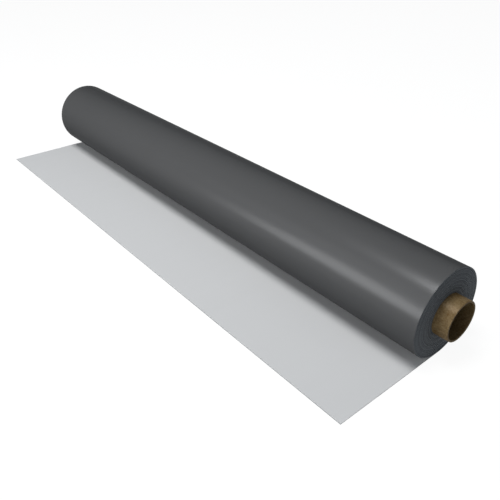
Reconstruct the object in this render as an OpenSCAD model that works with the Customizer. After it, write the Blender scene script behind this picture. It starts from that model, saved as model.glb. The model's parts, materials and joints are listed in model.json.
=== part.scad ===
// Roll of roofing membrane: one long sheet wound on a cardboard core tube, lying on its
// side, with the outer end of the sheet laid out flat in front of it.
//
// +X runs along the core, +Z is up and the free end lies towards -Y. The origin is on the
// axis of the core, half way along it, and the roll lies on the plane z = -roll_r.
//
// The winding is a true spiral, made of half turns about two centres: the half turns
// behind the axis (+Y) are drawn a quarter of the winding pitch below it, and those in
// front (-Y) as much above it. So each half turn runs smoothly into the next, the line
// between the turns comes one pitch further in every time round, and the outermost turn
// runs out flat along the floor as the free end.

/* [Sheet] */
// Width of the sheet, which is the length of the roll
sheet_w = 1500; // [500:5:2500]
// Thickness of the sheet
sheet_t = 1.2; // [0.8:0.1:3]
// Turns of the sheet on the core
turns = 44; // [8:1:80]
// Air that the winding leaves between one turn and the next
turn_gap = 0.06; // [0.01:0.01:0.2]
// Length of the free end, from below the axis to its cut edge
tail_len = 284; // [120:1:900]

/* [Ends of the roll] */
// Width of the line between two turns, where their edges are worn round
line_w = 0.3; // [0.1:0.05:0.6]
// Depth of the line between two turns
line_depth = 0.7; // [0.2:0.1:3]

/* [Core tube] */
// Inside diameter of the core tube
core_bore_d = 80; // [50:1:160]
// Wall of the core tube
core_wall = 4.5; // [3:0.5:15]
// Length of core tube that stands out of each end of the roll
core_out = 33.5; // [2:0.5:150]
// Chamfer on the cut edges of the core tube
core_chamfer = 0.5; // [0.2:0.1:1.2]
// Clearance between the core tube and the innermost turn
core_fit = 0.1; // [0.05:0.05:0.5]

/* [Hidden] */
$fn = 180;

// From one turn to the next
pitch = sheet_t + turn_gap;
// How far each of the two winding centres lies from the axis
centre_shift = pitch / 4;

core_bore_r = core_bore_d / 2;
core_r = core_bore_r + core_wall;
core_len = sheet_w + 2 * core_out;
// The eye of the roll, which the core tube fills
eye_r = core_r + core_fit;

// Height of the axis above the floor
roll_r = eye_r + turns * pitch;
// Outer radii of the half turns behind and in front of the axis
back_r = roll_r - centre_shift;
front_r = roll_r - 3 * centre_shift;

// Stands a shape that was drawn upright on end along the core, centred on the origin,
// which turns what was +X down and leaves +Y to the back
module along_core(length) {
    rotate([0, 90, 0])
        translate([0, 0, -length / 2])
            children();
}

// The half of a drawing behind the axis (side = 1) or in front of it (side = -1)
module half_of(side) {
    reach = 2 * roll_r;
    intersection() {
        children();
        translate([-reach, side > 0 ? 0 : -reach])
            square([2 * reach, reach]);
    }
}

// Draws the half turns behind the axis about the lower centre and those in front of it
// about the upper one, from the same children, which read their outer radius from
// $outer_r and how many lines lie under it from $lines
module both_halves() {
    translate([centre_shift, 0])
        half_of(1)
            let ($outer_r = back_r, $lines = turns - 1)
                children();
    translate([-centre_shift, 0])
        half_of(-1)
            let ($outer_r = front_r, $lines = turns - 2)
                children();
}

// Outline of the wound turns
module wound_outline() {
    both_halves()
        circle($outer_r);
}

// The line between the turns: one spiral, from under the free end in to the eye
module winding_line() {
    both_halves()
        for (k = [1 : $lines]) let (line_r = $outer_r - k * pitch)
            difference() {
                circle(line_r + line_w / 2);
                circle(line_r - line_w / 2);
            }
}

// The free end, flat on the floor from below the axis to its cut edge
module free_end() {
    translate([-sheet_w / 2, -tail_len, -roll_r])
        cube([sheet_w, tail_len, sheet_t]);
}

// The sheet: the wound turns and the free end in one piece, bored for the core tube, with
// the line between the turns cut in both end faces
module membrane() {
    color([0.33, 0.34, 0.35])
        difference() {
            union() {
                along_core(sheet_w)
                    linear_extrude(sheet_w)
                        wound_outline();
                free_end();
            }
            along_core(sheet_w + 2)
                cylinder(h = sheet_w + 2, r = eye_r);
            for (end = [-1, 1])
                translate([end * sheet_w / 2, 0, 0])
                    along_core(2 * line_depth)
                        linear_extrude(2 * line_depth)
                            winding_line();
        }
}

// The cardboard tube that the sheet is wound on, cut square with its edges broken
module core_tube() {
    color([0.52, 0.42, 0.29])
        along_core(core_len)
            rotate_extrude()
                polygon([
                    [core_bore_r + core_chamfer, 0],
                    [core_r - core_chamfer, 0],
                    [core_r, core_chamfer],
                    [core_r, core_len - core_chamfer],
                    [core_r - core_chamfer, core_len],
                    [core_bore_r + core_chamfer, core_len],
                    [core_bore_r, core_len - core_chamfer],
                    [core_bore_r, core_chamfer]
                ]);
}

membrane();
core_tube();
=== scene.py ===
"""Roll of roofing membrane: the sheet, its core tube and a plain studio round them.

Run as a script in Blender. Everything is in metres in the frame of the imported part: the
origin on the axis of the core tube, half way along it, +X along the tube, +Z up, and the
free end of the sheet towards -Y.
"""

import json
import math
import random
from typing import NamedTuple

import bmesh
import bpy
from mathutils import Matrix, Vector


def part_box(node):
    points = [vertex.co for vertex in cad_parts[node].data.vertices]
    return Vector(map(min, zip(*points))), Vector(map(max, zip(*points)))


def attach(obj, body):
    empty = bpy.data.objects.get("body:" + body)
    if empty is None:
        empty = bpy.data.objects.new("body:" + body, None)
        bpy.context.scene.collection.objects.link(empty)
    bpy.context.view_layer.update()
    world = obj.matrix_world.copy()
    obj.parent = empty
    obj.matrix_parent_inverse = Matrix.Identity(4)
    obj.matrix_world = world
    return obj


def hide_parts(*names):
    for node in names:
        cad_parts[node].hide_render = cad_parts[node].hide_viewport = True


bl_info = {
    "name": "Roll of roofing membrane",
    "version": (1, 0, 0),
    "blender": (4, 5, 0),
    "location": "3D View > Sidebar > Roofing roll",
    "description": "Winds a roofing sheet on its core tube and lays its free end out",
    "category": "Mesh",
}

BODY = "root"

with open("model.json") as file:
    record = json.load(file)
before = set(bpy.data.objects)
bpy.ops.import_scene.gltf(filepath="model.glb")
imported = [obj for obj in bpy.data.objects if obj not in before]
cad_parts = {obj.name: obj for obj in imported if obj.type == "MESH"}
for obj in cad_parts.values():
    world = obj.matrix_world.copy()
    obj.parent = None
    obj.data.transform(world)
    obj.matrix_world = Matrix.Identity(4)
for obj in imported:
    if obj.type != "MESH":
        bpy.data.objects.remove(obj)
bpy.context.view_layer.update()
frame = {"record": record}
SHEET_LOW, SHEET_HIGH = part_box("membrane")
TUBE_LOW, TUBE_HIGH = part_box("core_tube")
CORE_BORE = next(m for m in frame["record"]["mounts"] if m["name"] == "core_bore")

SHEET_WIDTH = SHEET_HIGH.x - SHEET_LOW.x
FREE_END = -SHEET_LOW.y
ROLL_RADIUS = -SHEET_LOW.z
TUBE_RADIUS = -TUBE_LOW.z
TUBE_BORE_RADIUS = CORE_BORE["dims"]["r_mm"] / 1000
TUBE_LENGTH = TUBE_HIGH.x - TUBE_LOW.x
FLOOR = -ROLL_RADIUS

# Vertices nearer than this are one, and a depth in the sheet this near 0 or 1 is on a side of it
WELD = 0.00001
SIDE_MARGIN = 0.01
TUBE_STEPS = 128
STRAY_SEED = 7

# The sheet's surface: lengths in metres, and scales in features to the metre
SCRIM_SPACING = 0.0028
SCRIM_SHARPNESS = 4.0
SCRIM_RELIEF = 0.000004
GRAIN_SCALE = 1400.0
GRAIN_RELIEF = 0.000003
DRIFT_SCALE = 6.0
STREAK_SCALE = (30.0, 1.5, 1.0)
SIDE_TONES = (0.98, 1.02)
ROUGHNESS_DRIFT = 0.02

# Its cut edge: how deep the dark ply ends and the paler one starts, as shares of the thickness,
# and for each set of rings its spacing, its detail, and its darkest and lightest tone
DARK_PLY_END = 0.5
PALE_PLY_START = 0.62
EDGE_RINGS = ((0.0017, 1.0, 0.4, 1.6), (0.0021, 0.0, 0.65, 1.35))
CUT_SCALE = 900.0
CUT_TONES = (0.85, 1.15)

# The board, in the same way: where the noise is under the first stop the board is brown, and
# over the second it has its own colour
MOTTLE_SCALE = 300.0
PATCH_SCALE = 38.0
BROWN_STOP = 0.36
BOARD_STOP = 0.62
FIBRE_SCALE = (240.0, 900.0, 900.0)
FIBRE_RELIEF = 0.00003
FIBRE_TONES = (0.35, 1.65)
PLY_CONTRAST = 0.12
RIM_DEPTH = 0.0002
# How far out from the wall of the bore the bore's painted shade reaches
BORE_SHADE_DEPTH = 0.0001

# The studio: the floor that shows has a dim tone under the lamps and a glow of its own, and
# lamps with no distance of their own hang at FAR_LAMP
FLOOR_SIZE = 15.0
FLOOR_GAP = 0.0002
FLOOR_TONE = 0.1
FLOOR_GLOW = 0.93
FAR_LAMP = 3.0


class Lamp(NamedTuple):
    """A lamp of the studio: across is its reach along the roll, from -1 to 1, climb the angle
    that it stands at round the roll, from the front horizon over the top, and width how wide
    it looks, both in degrees. It stands at the distance from start, a point along the roll,
    and lights as the sun does where the distance is 0."""

    name: str
    across: float
    climb: float
    width: float
    strength: float
    distance: float = 0.0
    start: float = 0.0


LAMPS = (
    Lamp("overhead_lamp", across=-0.185, climb=74, width=23.5, strength=2.45, distance=3.5, start=0.7),
    Lamp("low_front_lamp", across=-0.475, climb=4.5, width=33, strength=1.84, distance=4.5, start=0.6),
    Lamp("front_fill", across=0.0, climb=10, width=60, strength=0.65),
    Lamp("side_lamp", across=0.9, climb=120, width=40, strength=0.32),
    Lamp("front_strip", across=-0.5, climb=38, width=28, strength=0.18),
)
LAMPS_AIM = Vector((0.1, 0, 0))


# Settings


class SheetSettings(bpy.types.PropertyGroup):
    """The sheet and how it is wound"""

    thickness: bpy.props.FloatProperty(
        name="Thickness", description="Thickness of the sheet", default=0.0012, min=0.0005,
        max=0.004, precision=5, unit="LENGTH",
    )
    turns: bpy.props.IntProperty(
        name="Turns", description="Turns of the sheet on the core tube", default=44, min=2, max=80,
    )
    core_fit: bpy.props.FloatProperty(
        name="Core fit", description="Clearance between the core tube and the innermost turn",
        default=0.0001, min=0, max=0.001, precision=5, unit="LENGTH",
    )
    inner_end: bpy.props.FloatProperty(
        name="Inner end", description="How far the last half turn goes before the sheet ends",
        default=math.radians(55), min=0.1, max=math.pi, subtype="ANGLE",
    )
    half_turn_steps: bpy.props.IntProperty(
        name="Steps", description="Steps in each half turn", default=48, min=8, max=96,
    )
    edge_round: bpy.props.FloatProperty(
        name="Edge rounding", description="Radius of the sheet's long edges", default=0.00012,
        min=0.00005, max=0.0005, precision=5, unit="LENGTH",
    )
    sway: bpy.props.FloatProperty(
        name="Sway", description="How far the sheet sways from side to side as it winds on",
        default=0.00015, min=0, max=0.002, precision=5, unit="LENGTH",
    )
    sway_turns: bpy.props.FloatProperty(
        name="Sway turns", description="Turns that one sway from side to side takes", default=3.6,
        min=1, max=20,
    )
    wander: bpy.props.FloatProperty(
        name="Wander", description="How far each half turn may stray from an even sway",
        default=0.00008, min=0, max=0.002, precision=5, unit="LENGTH",
    )
    back_colour: bpy.props.FloatVectorProperty(
        name="Back", description="Colour of the dark back of the sheet, outermost on the roll",
        default=(0.0763, 0.0775, 0.079), min=0, max=1, subtype="COLOR",
    )
    face_colour: bpy.props.FloatVectorProperty(
        name="Face", description="Colour of the light face of the sheet",
        default=(0.566, 0.57, 0.574), min=0, max=1, subtype="COLOR",
    )
    edge_colour: bpy.props.FloatVectorProperty(
        name="Cut edge", description="Colour of the dark ply where the sheet is cut through",
        default=(0.080, 0.087, 0.094), min=0, max=1, subtype="COLOR",
    )
    ply_colour: bpy.props.FloatVectorProperty(
        name="Cut face ply", description="Colour of the paler ply under the face, cut through",
        default=(0.158, 0.166, 0.174), min=0, max=1, subtype="COLOR",
    )


class TubeSettings(bpy.types.PropertyGroup):
    """The cardboard core tube"""

    rim_round: bpy.props.FloatProperty(
        name="Rim rounding", description="Radius worn on the cut edges of the tube",
        default=0.0011, min=0.0001, max=0.002, precision=5, unit="LENGTH",
    )
    ply: bpy.props.FloatProperty(
        name="Ply", description="Thickness of one ply of board in the wall of the tube",
        default=0.0005, min=0.0002, max=0.002, precision=5, unit="LENGTH",
    )
    board_colour: bpy.props.FloatVectorProperty(
        name="Board", description="Colour of the kraft board", default=(0.173, 0.122, 0.059),
        min=0, max=1, subtype="COLOR",
    )
    brown_colour: bpy.props.FloatVectorProperty(
        name="Brown", description="Colour of the browner patches of the board",
        default=(0.098, 0.057, 0.018), min=0, max=1, subtype="COLOR",
    )
    rim_shade: bpy.props.FloatProperty(
        name="Rim shade", description="Tone of the cut rim against the board's outside",
        default=0.65, min=0, max=2,
    )
    # Painted shade: darkens the wall of the bore, standing in for the shade deep inside the tube
    bore_painted_shade: bpy.props.FloatProperty(
        name="Bore shade", description="Tone of the innermost ply against the board's outside",
        default=0.75, min=0, max=2,
    )


class StudioSettings(bpy.types.PropertyGroup):
    """Camera, floor and lamps"""

    azimuth: bpy.props.FloatProperty(
        name="Azimuth", description="Direction of the camera round the roll, 0 in front of it",
        default=math.radians(50.14), subtype="ANGLE",
    )
    elevation: bpy.props.FloatProperty(
        name="Elevation", description="Height of the camera above the horizon",
        default=math.radians(32.30), subtype="ANGLE",
    )
    distance: bpy.props.FloatProperty(
        name="Distance", description="From the camera to the point it looks at", default=1.281,
        min=0.1, unit="LENGTH",
    )
    aim: bpy.props.FloatVectorProperty(
        name="Aim", description="The point that the camera looks at", default=(0.3354, -0.1424, 0),
        subtype="TRANSLATION", unit="LENGTH",
    )
    lens: bpy.props.FloatProperty(
        name="Lens", description="Focal length of the camera", default=41.02, min=10,
        unit="CAMERA",
    )
    surround: bpy.props.FloatVectorProperty(
        name="Surround", description="Colour and strength of the even light all round",
        default=(0.106, 0.124, 0.142), min=0, subtype="COLOR",
    )
    floor_colour: bpy.props.FloatVectorProperty(
        name="Floor", description="Colour of the floor", default=(0.8, 0.8, 0.8), min=0, max=1,
        subtype="COLOR",
    )


# Materials


class Nodes:
    """Makes the nodes of one material and joins them up"""

    def __init__(self, name):
        self.material = bpy.data.materials.new(name)
        self.material.use_nodes = True
        self.tree = self.material.node_tree
        self.shader = self.tree.nodes["Principled BSDF"]
        self.output = self.tree.nodes["Material Output"]

    def add(self, kind, **settings):
        """A node of that kind with its settings; a setting that names an input sets its value"""
        node = self.tree.nodes.new("ShaderNode" + kind)
        for key, value in settings.items():
            if hasattr(node, key):
                setattr(node, key, value)
            else:
                node.inputs[key].default_value = value
        return node

    def join(self, source, target):
        """Links one socket to another"""
        self.tree.links.new(source, target)

    def feed(self, value, target):
        """Joins a socket to the target, or sets a plain value on it"""
        if isinstance(value, bpy.types.NodeSocket):
            self.join(value, target)
        else:
            target.default_value = value

    def set_shader(self, values):
        """Sets what is the same all over the surface on the shader's own sockets"""
        for socket, value in values.items():
            self.shader.inputs[socket].default_value = value

    def math(self, operation, *values):
        """The output of a sum on sockets and numbers"""
        node = self.add("Math", operation=operation)
        for value, socket in zip(values, node.inputs):
            self.feed(value, socket)
        return node.outputs[0]

    def noise(self, vector, scale, detail=2.0, roughness=0.5):
        """Soft noise of that scale at the vector"""
        node = self.add("TexNoise", Scale=scale, Detail=detail, Roughness=roughness)
        self.join(vector, node.inputs["Vector"])
        return node.outputs["Fac"]

    def stretched(self, vector, scale):
        """The vector with each of its parts multiplied by its own scale"""
        node = self.add("Mapping", Scale=scale)
        self.join(vector, node.inputs["Vector"])
        return node.outputs["Vector"]

    def spread(self, factor, low, high):
        """The number that goes from low to high as factor goes from 0 to 1"""
        node = self.add("MapRange", **{"To Min": low, "To Max": high})
        self.join(factor, node.inputs["Value"])
        return node.outputs["Result"]

    def scaled(self, colour, factor):
        """The colour multiplied by the factor"""
        node = self.add("VectorMath", operation="SCALE")
        self.feed(colour, node.inputs[0])
        self.join(factor, node.inputs["Scale"])
        return node.outputs["Vector"]

    def shade(self, colour, factor, low, high):
        """The colour multiplied by low to high as factor goes from 0 to 1"""
        return self.scaled(colour, self.spread(factor, low, high))

    def ramp(self, factor, *stops):
        """The colour that the factor picks between stops, each a position and a colour"""
        node = self.add("ValToRGB")
        for element, (position, colour) in zip(node.color_ramp.elements, stops):
            element.position = position
            element.color = (*colour, 1.0)
        self.join(factor, node.inputs["Fac"])
        return node.outputs["Color"]

    def bump(self, height, distance, under=None):
        """The normal of a relief of that height, laid over another relief if there is one"""
        node = self.add("Bump", Distance=distance)
        self.join(height, node.inputs["Height"])
        if under is not None:
            self.join(under, node.inputs["Normal"])
        return node.outputs["Normal"]


def scrim(nodes, place):
    """The fine square grid of the woven scrim, which shows through the sheet"""
    split = nodes.add("SeparateXYZ")
    nodes.join(place, split.inputs["Vector"])
    threads = []
    for axis in ("X", "Y"):
        angle = nodes.math("MULTIPLY", split.outputs[axis], 2 * math.pi / SCRIM_SPACING)
        wave = nodes.math("SINE", angle)
        threads.append(nodes.math("POWER", nodes.math("ABSOLUTE", wave), SCRIM_SHARPNESS))
    return nodes.math("MAXIMUM", *threads)


def sheet_side(name, colour, roughness, shader):
    """One side of the sheet: calendered vinyl with a fine grain over its scrim"""
    nodes = Nodes(name)
    place = nodes.add("UVMap", uv_map="Sheet").outputs["UV"]
    drift = nodes.noise(place, DRIFT_SCALE, detail=3.0)
    streak = nodes.noise(nodes.stretched(place, STREAK_SCALE), 1.0)
    tone = nodes.math("ADD", nodes.math("MULTIPLY", drift, 0.5), nodes.math("MULTIPLY", streak, 0.5))
    nodes.join(nodes.shade(colour, tone, *SIDE_TONES), nodes.shader.inputs["Base Color"])
    rough = nodes.spread(drift, roughness - ROUGHNESS_DRIFT, roughness + ROUGHNESS_DRIFT)
    nodes.join(rough, nodes.shader.inputs["Roughness"])
    grain = nodes.noise(place, GRAIN_SCALE, detail=3.0, roughness=0.6)
    woven = nodes.bump(scrim(nodes, place), SCRIM_RELIEF)
    nodes.join(nodes.bump(grain, GRAIN_RELIEF, under=woven), nodes.shader.inputs["Normal"])
    nodes.set_shader({"Specular IOR Level": 0.0, **shader})
    return nodes.material


def radius_of(nodes, where):
    """How far a point lies from the axis of the roll"""
    across = nodes.add("VectorMath", operation="MULTIPLY")
    across.inputs[1].default_value = (0.0, 1.0, 1.0)
    nodes.join(where, across.inputs[0])
    length = nodes.add("VectorMath", operation="LENGTH")
    nodes.join(across.outputs["Vector"], length.inputs[0])
    return length.outputs["Value"]


def rings(nodes, where, spacing, detail):
    """Noise that changes only with the distance from the axis"""
    noise = nodes.add("TexNoise", noise_dimensions="1D", Scale=1.0, Detail=detail, Roughness=0.5)
    nodes.join(nodes.math("DIVIDE", radius_of(nodes, where), spacing), noise.inputs["W"])
    return noise.outputs["Fac"]


def sheet_edge(settings):
    """The cut edge of the sheet: a dark ply and a paler one under the face, with some turns
    darker than others"""
    nodes = Nodes("membrane_edge")
    depth = nodes.add("Attribute", attribute_name="depth", attribute_type="GEOMETRY")
    colour = nodes.ramp(
        depth.outputs["Fac"],
        (DARK_PLY_END, settings.edge_colour), (PALE_PLY_START, settings.ply_colour),
    )
    where = nodes.add("TexCoord").outputs["Object"]
    for spacing, detail, dark, light in EDGE_RINGS:
        colour = nodes.shade(colour, rings(nodes, where, spacing, detail), dark, light)
    colour = nodes.shade(colour, nodes.noise(where, CUT_SCALE), *CUT_TONES)
    nodes.join(colour, nodes.shader.inputs["Base Color"])
    nodes.set_shader({"Roughness": 0.6, "Specular IOR Level": 0.0})
    return nodes.material


def board_tone(nodes, where, settings):
    """How light the board is: its plies cut through on the rim, and painted shade on the wall of the
    bore
    """
    across = nodes.add("SeparateXYZ")
    nodes.join(where, across.inputs["Vector"])
    reach = nodes.math("ABSOLUTE", across.outputs["X"])
    rim = nodes.math("GREATER_THAN", reach, TUBE_LENGTH / 2 - RIM_DEPTH)
    radius = radius_of(nodes, where)
    plies = nodes.math("SINE", nodes.math("MULTIPLY", radius, 2 * math.pi / settings.ply))
    cut = nodes.math("MULTIPLY_ADD", plies, PLY_CONTRAST, settings.rim_shade - 1)
    tone = nodes.math("MULTIPLY_ADD", cut, rim, 1.0)
    # Painted shade: the wall of the bore is darkened, for the shade inside the tube
    bore = nodes.math("LESS_THAN", radius, TUBE_BORE_RADIUS + BORE_SHADE_DEPTH)
    return nodes.math("MULTIPLY", tone, nodes.math("MULTIPLY_ADD", bore, settings.bore_painted_shade - 1, 1.0))


def board_material(settings):
    """Kraft board, mottled and fibrous, with a thin dull coat"""
    nodes = Nodes("core_board")
    where = nodes.add("TexCoord").outputs["Object"]
    mottle = nodes.noise(where, MOTTLE_SCALE, detail=3.0, roughness=0.6)
    patch = nodes.noise(where, PATCH_SCALE)
    brown = nodes.math("ADD", nodes.math("MULTIPLY", mottle, 0.7), nodes.math("MULTIPLY", patch, 0.3))
    colour = nodes.ramp(
        brown, (BROWN_STOP, settings.brown_colour), (BOARD_STOP, settings.board_colour),
    )
    fibre = nodes.noise(nodes.stretched(where, FIBRE_SCALE), 1.0, detail=3.0, roughness=0.7)
    colour = nodes.shade(colour, fibre, *FIBRE_TONES)
    colour = nodes.scaled(colour, board_tone(nodes, where, settings))
    nodes.join(colour, nodes.shader.inputs["Base Color"])
    nodes.join(nodes.bump(fibre, FIBRE_RELIEF), nodes.shader.inputs["Normal"])
    nodes.set_shader({
        "Roughness": 0.4, "Metallic": 0.08, "Specular IOR Level": 0.0,
        "Specular Tint": (0.3, 0.3, 0.3, 1.0), "Coat Weight": 0.22, "Coat Roughness": 0.4,
    })
    return nodes.material


# Meshes


def add_object(name, data):
    """An object of the scene that shows the mesh, lamp or camera"""
    piece = bpy.data.objects.new(name, data)
    bpy.context.scene.collection.objects.link(piece)
    return piece


def add_mesh(bm, name, materials):
    """The mesh as an object at the origin, with its materials"""
    mesh = bpy.data.meshes.new(name)
    bm.to_mesh(mesh)
    bm.free()
    for material in materials:
        mesh.materials.append(material)
    return add_object(name, mesh)


def finish_piece(bm, name, materials):
    """The mesh as a piece that rides on the one body of the roll"""
    piece = add_mesh(bm, name, materials)
    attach(piece, BODY)
    return piece


class Winding:
    """Winds the sheet, from the cut edge of its free end in to the core tube, by carrying
    its section along the floor and then round two winding centres in turn"""

    BACK, FACE, EDGE = 0, 1, 2

    def __init__(self, settings):
        self.settings = settings
        eye = TUBE_RADIUS + settings.core_fit
        self.pitch = (ROLL_RADIUS - eye) / settings.turns
        self.bm = self.with_layers(bmesh.new())
        # The section's height over the axis and its shift along it, and the sheet behind it
        self.height = FLOOR + settings.thickness / 2
        self.aside = 0.0
        self.length = 0.0
        self.half_turns = 0
        self.chance = random.Random(STRAY_SEED)

    @staticmethod
    def with_layers(bm):
        """Each point knows how deep in the sheet it lies and how far along the sheet"""
        bm.verts.layers.float.new("depth")
        bm.verts.layers.float.new("along")
        return bm

    def section(self, y):
        """A mesh with the outline of the sheet's section, its back away from the axis"""
        bm = self.with_layers(bmesh.new())
        half_width = SHEET_WIDTH / 2
        half_depth = math.copysign(self.settings.thickness / 2, self.height)
        corners = ((-1, -1), (1, -1), (1, 1), (-1, 1))
        ring = [
            bm.verts.new((self.aside + x * half_width, y, self.height + z * half_depth))
            for x, z in corners
        ]
        outline = bm.faces.new(ring)
        bmesh.ops.bevel(
            bm, geom=list(outline.verts), offset=self.settings.edge_round, offset_type="OFFSET",
            affect="VERTICES", segments=2, profile=0.5, material=-1,
        )
        bmesh.ops.delete(bm, geom=bm.faces, context="FACES_ONLY")
        depth = bm.verts.layers.float["depth"]
        for vert in bm.verts:
            vert[depth] = (1 - (vert.co.z - self.height) / half_depth) / 2
        return bm

    def add(self, bm, steps, length):
        """Adds a stretch of the sheet, whose sections follow one another in order"""
        along = bm.verts.layers.float["along"]
        around = len(bm.verts) // (steps + 1)
        for index, vert in enumerate(bm.verts):
            vert[along] = self.length + length * (index // around) / steps
        self.length += length
        stretch = bpy.data.meshes.new("stretch")
        bm.to_mesh(stretch)
        bm.free()
        self.bm.from_mesh(stretch)
        bpy.data.meshes.remove(stretch)

    def lay_out(self):
        """The free end, flat on the floor up to the point below the axis"""
        bm = self.section(-FREE_END)
        made = bmesh.ops.extrude_edge_only(bm, edges=bm.edges)["geom"]
        moved = [item for item in made if isinstance(item, bmesh.types.BMVert)]
        bmesh.ops.translate(bm, verts=moved, vec=(0, FREE_END, 0))
        self.add(bm, 1, FREE_END)

    def next_aside(self):
        """How far to one side the next half turn ends"""
        self.half_turns += 1
        sway = math.sin(math.pi * self.half_turns / self.settings.sway_turns)
        stray = self.chance.uniform(-1, 1)
        return sway * self.settings.sway + stray * self.settings.wander

    def half_turn(self, centre, angle=math.pi):
        """Carries the section round a winding centre at that height"""
        steps = max(2, round(self.settings.half_turn_steps * angle / math.pi))
        target = self.next_aside()
        bm = self.section(0)
        bmesh.ops.spin(
            bm, geom=[*bm.verts, *bm.edges], cent=(0, 0, centre), axis=(1, 0, 0), angle=angle,
            steps=steps, dvec=((target - self.aside) / steps, 0, 0),
        )
        self.add(bm, steps, abs(self.height - centre) * angle)
        self.aside = target
        self.height = 2 * centre - self.height

    def wind(self):
        """Winds turn on turn, each half turn half a pitch nearer to the axis"""
        shift = self.pitch / 4
        for _ in range(self.settings.turns - 1):
            self.half_turn(-shift)
            self.half_turn(shift)
        self.half_turn(-shift, self.settings.inner_end)

    def close(self):
        """Welds the stretches and closes the two cut ends of the sheet"""
        bmesh.ops.remove_doubles(self.bm, verts=self.bm.verts, dist=WELD)
        open_edges = [edge for edge in self.bm.edges if edge.is_boundary]
        bmesh.ops.holes_fill(self.bm, edges=open_edges, sides=0)
        bmesh.ops.recalc_face_normals(self.bm, faces=self.bm.faces)

    def mark_sides(self):
        """Gives each face its side of the sheet and its place on the flat sheet"""
        depth = self.bm.verts.layers.float["depth"]
        along = self.bm.verts.layers.float["along"]
        place = self.bm.loops.layers.uv.new("Sheet")
        for face in self.bm.faces:
            depths = [vert[depth] for vert in face.verts]
            if max(depths) < SIDE_MARGIN:
                face.material_index = self.BACK
            elif min(depths) > 1 - SIDE_MARGIN:
                face.material_index = self.FACE
            else:
                face.material_index = self.EDGE
            face.smooth = len(face.verts) == 4
            for loop in face.loops:
                loop[place].uv = (loop.vert.co.x, loop.vert[along])
        for edge in self.bm.edges:
            first, *others = edge.link_faces
            edge.smooth = all(
                other.material_index == first.material_index and other.smooth == first.smooth
                for other in others
            )


class ROLL_OT_membrane(bpy.types.Operator):
    """Wind the sheet on the core tube and lay its free end out flat"""

    bl_idname = "roofing_roll.membrane"
    bl_label = "Wind the sheet"

    def execute(self, context):
        settings = context.scene.roll_sheet
        winding = Winding(settings)
        winding.lay_out()
        winding.wind()
        winding.close()
        winding.mark_sides()
        gloss = {"Metallic": 0.26, "Specular Tint": (0.2, 0.2, 0.2, 1.0)}
        materials = [
            sheet_side("membrane_back", settings.back_colour, 0.26, gloss),
            sheet_side("membrane_face", settings.face_colour, 0.5, {}),
            sheet_edge(settings),
        ]
        piece = finish_piece(winding.bm, "wound_sheet", materials)
        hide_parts("membrane")
        return {"FINISHED"}


class ROLL_OT_tube(bpy.types.Operator):
    """Make the cardboard core tube"""

    bl_idname = "roofing_roll.tube"
    bl_label = "Make the core tube"

    def execute(self, context):
        settings = context.scene.roll_tube
        bm = bmesh.new()
        half = TUBE_LENGTH / 2
        corners = (
            (-half, TUBE_BORE_RADIUS), (half, TUBE_BORE_RADIUS),
            (half, TUBE_RADIUS), (-half, TUBE_RADIUS),
        )
        wall = bm.faces.new([bm.verts.new((x, 0, z)) for x, z in corners])
        bmesh.ops.bevel(
            bm, geom=list(wall.verts), offset=settings.rim_round, offset_type="OFFSET",
            affect="VERTICES", segments=3, profile=0.5, material=-1,
        )
        section = [*bm.faces, *bm.edges, *bm.verts]
        bmesh.ops.spin(
            bm, geom=section, cent=(0, 0, 0), axis=(1, 0, 0), angle=2 * math.pi,
            steps=TUBE_STEPS, use_merge=True,
        )
        bmesh.ops.remove_doubles(bm, verts=bm.verts, dist=WELD)
        bmesh.ops.delete(bm, geom=[f for f in bm.faces if len(f.verts) > 4], context="FACES_ONLY")
        bmesh.ops.recalc_face_normals(bm, faces=bm.faces)
        for face in bm.faces:
            face.smooth = True
        piece = finish_piece(bm, "tube", [board_material(settings)])
        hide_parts("core_tube")
        return {"FINISHED"}


# Studio


def direction(azimuth, elevation):
    """Towards a point in that direction, with azimuth 0 in front of the roll"""
    return Vector((
        math.sin(azimuth) * math.cos(elevation),
        -math.cos(azimuth) * math.cos(elevation),
        math.sin(elevation),
    ))


def place_lamp(lamp):
    """Hangs the lamp and turns it to the roll"""
    width, climb = math.radians(lamp.width), math.radians(lamp.climb)
    upright = math.sqrt(1 - lamp.across**2)
    towards = Vector((lamp.across, -math.cos(climb) * upright, math.sin(climb) * upright))
    if lamp.distance:
        light = bpy.data.lights.new(lamp.name, "AREA")
        light.shape = "DISK"
        light.size = 2 * lamp.distance * math.tan(width / 2)
        light.energy = lamp.strength * math.pi * lamp.distance**2
        place, aim = Vector((lamp.start, 0, 0)) + lamp.distance * towards, LAMPS_AIM
    else:
        light = bpy.data.lights.new(lamp.name, "SUN")
        light.angle = width
        light.energy = lamp.strength
        place, aim = FAR_LAMP * towards, Vector()
    piece = add_object(lamp.name, light)
    piece.location = place
    piece.rotation_euler = (place - aim).to_track_quat("Z", "Y").to_euler()


def seen_ray(tree):
    """1 on rays that show the background: the camera's, and those that gloss or glass sends on"""
    path = tree.nodes.new("ShaderNodeLightPath")
    seen = path.outputs["Is Camera Ray"]
    for kind in ("Is Glossy Ray", "Is Transmission Ray"):
        either = tree.nodes.new("ShaderNodeMath")
        either.operation = "MAXIMUM"
        tree.links.new(seen, either.inputs[0])
        tree.links.new(path.outputs[kind], either.inputs[1])
        seen = either.outputs[0]
    return seen


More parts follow.
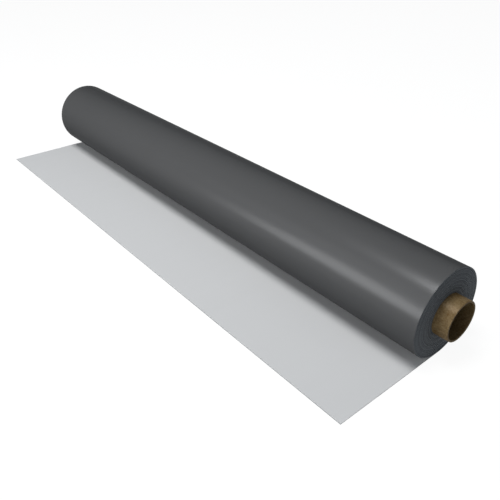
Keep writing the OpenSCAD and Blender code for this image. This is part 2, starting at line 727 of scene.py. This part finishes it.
def floor_material(settings):
    """A pale floor that shows as white, with the roll's shadow on it"""
    nodes = Nodes("floor")
    nodes.set_shader({
        "Base Color": (*settings.floor_colour, 1.0), "Roughness": 0.9, "Specular IOR Level": 0.0,
    })
    lit = nodes.add("BsdfDiffuse", Color=(FLOOR_TONE, FLOOR_TONE, FLOOR_TONE, 1.0))
    glow = nodes.add("Emission", Color=(1.0, 1.0, 1.0, 1.0), Strength=FLOOR_GLOW)
    shown = nodes.add("AddShader")
    nodes.join(lit.outputs[0], shown.inputs[0])
    nodes.join(glow.outputs[0], shown.inputs[1])
    mix = nodes.add("MixShader")
    nodes.join(seen_ray(nodes.tree), mix.inputs["Fac"])
    nodes.join(nodes.shader.outputs[0], mix.inputs[1])
    nodes.join(shown.outputs[0], mix.inputs[2])
    nodes.join(mix.outputs[0], nodes.output.inputs["Surface"])
    return nodes.material


def make_floor(settings):
    """A wide floor just under the roll"""
    bm = bmesh.new()
    bmesh.ops.create_grid(bm, x_segments=1, y_segments=1, size=FLOOR_SIZE)
    bmesh.ops.translate(bm, verts=bm.verts, vec=(0, 0, FLOOR - FLOOR_GAP))
    floor = add_mesh(bm, "floor", [floor_material(settings)])


def make_world(settings):
    """Even light all round the roll, behind a background that shows as white"""
    world = bpy.data.worlds.new("studio")
    bpy.context.scene.world = world
    world.use_nodes = True
    tree = world.node_tree
    even = tree.nodes["Background"]
    even.inputs["Color"].default_value = (*settings.surround, 1.0)
    even.inputs["Strength"].default_value = 1.0
    white = tree.nodes.new("ShaderNodeBackground")
    white.inputs["Color"].default_value = (1.0, 1.0, 1.0, 1.0)
    white.inputs["Strength"].default_value = 1.0
    mix = tree.nodes.new("ShaderNodeMixShader")
    tree.links.new(seen_ray(tree), mix.inputs["Fac"])
    tree.links.new(even.outputs[0], mix.inputs[1])
    tree.links.new(white.outputs[0], mix.inputs[2])
    tree.links.new(mix.outputs[0], tree.nodes["World Output"].inputs["Surface"])


def make_camera(settings):
    """The camera that looks at the roll's end from above"""
    data = bpy.data.cameras.new("camera")
    data.lens = settings.lens
    data.clip_start, data.clip_end = 0.01, 100.0
    camera = add_object("camera", data)
    back = direction(settings.azimuth, settings.elevation)
    camera.location = Vector(settings.aim) + back * settings.distance
    camera.rotation_euler = back.to_track_quat("Z", "Y").to_euler()
    bpy.context.scene.camera = camera


class ROLL_OT_studio(bpy.types.Operator):
    """Set up the camera, the pale floor and the soft lamps"""

    bl_idname = "roofing_roll.studio"
    bl_label = "Set up the studio"

    def execute(self, context):
        settings = context.scene.roll_studio
        context.scene.view_settings.view_transform = "Standard"
        make_camera(settings)
        make_floor(settings)
        make_world(settings)
        for lamp in LAMPS:
            place_lamp(lamp)
        return {"FINISHED"}


class ROLL_PT_panel(bpy.types.Panel):
    """The roll's settings and the buttons that make its pieces"""

    bl_idname = "ROLL_PT_panel"
    bl_label = "Roofing roll"
    bl_space_type = "VIEW_3D"
    bl_region_type = "UI"
    bl_category = "Roofing roll"

    def draw(self, context):
        scene = context.scene
        for group, operator in (
            (scene.roll_studio, ROLL_OT_studio),
            (scene.roll_tube, ROLL_OT_tube),
            (scene.roll_sheet, ROLL_OT_membrane),
        ):
            box = self.layout.box()
            for name in group.__annotations__:
                box.prop(group, name)
            box.operator(operator.bl_idname)


CLASSES = (
    SheetSettings, TubeSettings, StudioSettings, ROLL_OT_studio, ROLL_OT_tube, ROLL_OT_membrane,
    ROLL_PT_panel,
)


def register():
    for kind in CLASSES:
        bpy.utils.register_class(kind)
    bpy.types.Scene.roll_sheet = bpy.props.PointerProperty(type=SheetSettings)
    bpy.types.Scene.roll_tube = bpy.props.PointerProperty(type=TubeSettings)
    bpy.types.Scene.roll_studio = bpy.props.PointerProperty(type=StudioSettings)


def unregister():
    del bpy.types.Scene.roll_studio
    del bpy.types.Scene.roll_tube
    del bpy.types.Scene.roll_sheet
    for kind in reversed(CLASSES):
        bpy.utils.unregister_class(kind)


def main():
    register()
    bpy.ops.roofing_roll.studio()
    bpy.ops.roofing_roll.tube()
    bpy.ops.roofing_roll.membrane()


if __name__ == "__main__":
    main()
